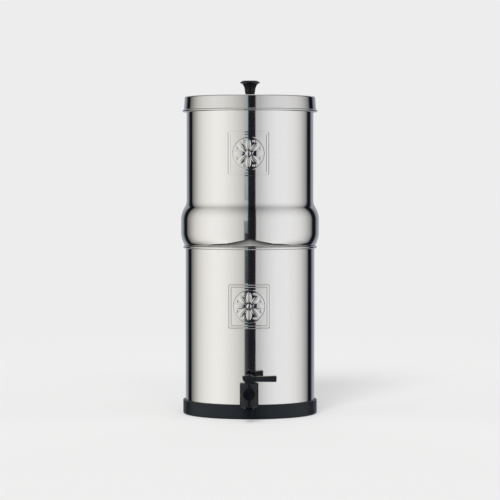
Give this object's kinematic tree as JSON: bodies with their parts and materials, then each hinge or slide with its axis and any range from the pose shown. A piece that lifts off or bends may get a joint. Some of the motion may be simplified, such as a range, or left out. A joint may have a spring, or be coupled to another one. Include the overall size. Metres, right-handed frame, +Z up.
{
  "type": "gravity water filter with tap",
  "caption": "Two stacked polished steel vessels with a loose lid, ceramic filter candles between them and a black lever tap near the base.",
  "frame": {"origin": "on the vessels' common axis, in the plane that the base ring stands on", "axes": "+Z up along the vessels' axis, -Y towards the tap, +X to the right of someone facing the tap"},
  "size_m": [0.2176, 0.2743, 0.525],
  "materials": {
    "polished_steel": "polished stainless sheet with faint turning lines",
    "knob_plastic": "satin black moulding",
    "steel_hardware": "drawn stainless wire and turned hardware",
    "ceramic_shell": "unglazed fired ceramic",
    "carbon_block": "pressed carbon",
    "white_plastic": "satin white moulding",
    "seal_rubber": "moulded sealing rubber",
    "seat_silicone": "moulded silicone",
    "base_rubber": "satin moulded rubber",
    "tap_plastic": "satin black moulding"
  },
  "bodies": {
    "lower_vessel": {"lower_chamber": "polished_steel", "base_ring": "base_rubber", "tap_body": "tap_plastic", "tap_bonnet": "tap_plastic", "tap_outer_washer": "seal_rubber", "tap_inner_washer": "seal_rubber", "tap_nut": "tap_plastic"},
    "upper_vessel": {"upper_chamber": "polished_steel", "candle_shell_left": "ceramic_shell", "candle_shell_right": "ceramic_shell", "carbon_core_left": "carbon_block", "carbon_core_right": "carbon_block", "candle_base_left": "white_plastic", "candle_base_right": "white_plastic", "candle_washer_left": "seal_rubber", "candle_washer_right": "seal_rubber", "wing_nut_left": "white_plastic", "wing_nut_right": "white_plastic", "blanking_plug_front": "white_plastic", "blanking_plug_back": "white_plastic", "plug_washer_front": "seal_rubber", "plug_washer_back": "seal_rubber", "plug_nut_front": "white_plastic", "plug_nut_back": "white_plastic"},
    "lid": {"lid": "polished_steel", "lid_knob": "knob_plastic", "knob_washer": "steel_hardware", "knob_screw": "steel_hardware"},
    "tap_swivel": {"thrust_washer": "white_plastic", "tap_spring": "steel_hardware"},
    "tap_stem": {"tap_stem": "tap_plastic", "seat_cup": "seat_silicone", "lever_pin": "steel_hardware"},
    "tap_lever": {"tap_lever": "tap_plastic"}
  },
  "joints": [
    {"name": "upper_lift", "type": "slide", "parent": "lower_vessel", "child": "upper_vessel", "axis": [0, 0, 1], "range_m": [0, 0.1]},
    {"name": "lid_lift", "type": "slide", "parent": "upper_vessel", "child": "lid", "axis": [0, 0, 1], "range_m": [0, 0.12]},
    {"name": "lever_swivel", "type": "hinge", "parent": "lower_vessel", "child": "tap_swivel", "pos_m": [0, -0.15, 0.0606], "axis": [0, 0, 1], "continuous": true},
    {"name": "stem_lift", "type": "slide", "parent": "tap_swivel", "child": "tap_stem", "axis": [0, 0, 1], "range_m": [0, 0.0045], "stiffness_N_per_m": 400, "springref_m": -0.005, "deforming": ["tap_spring"]},
    {"name": "lever_tilt", "type": "hinge", "parent": "tap_stem", "child": "tap_lever", "pos_m": [0, -0.15, 0.0666], "axis": [0, -1, 0], "range_deg": [0, 90]}
  ],
  "couplings": [
    {"joint": "lever_tilt", "follows": "stem_lift", "rad_per_m": 349.06}
  ]
}
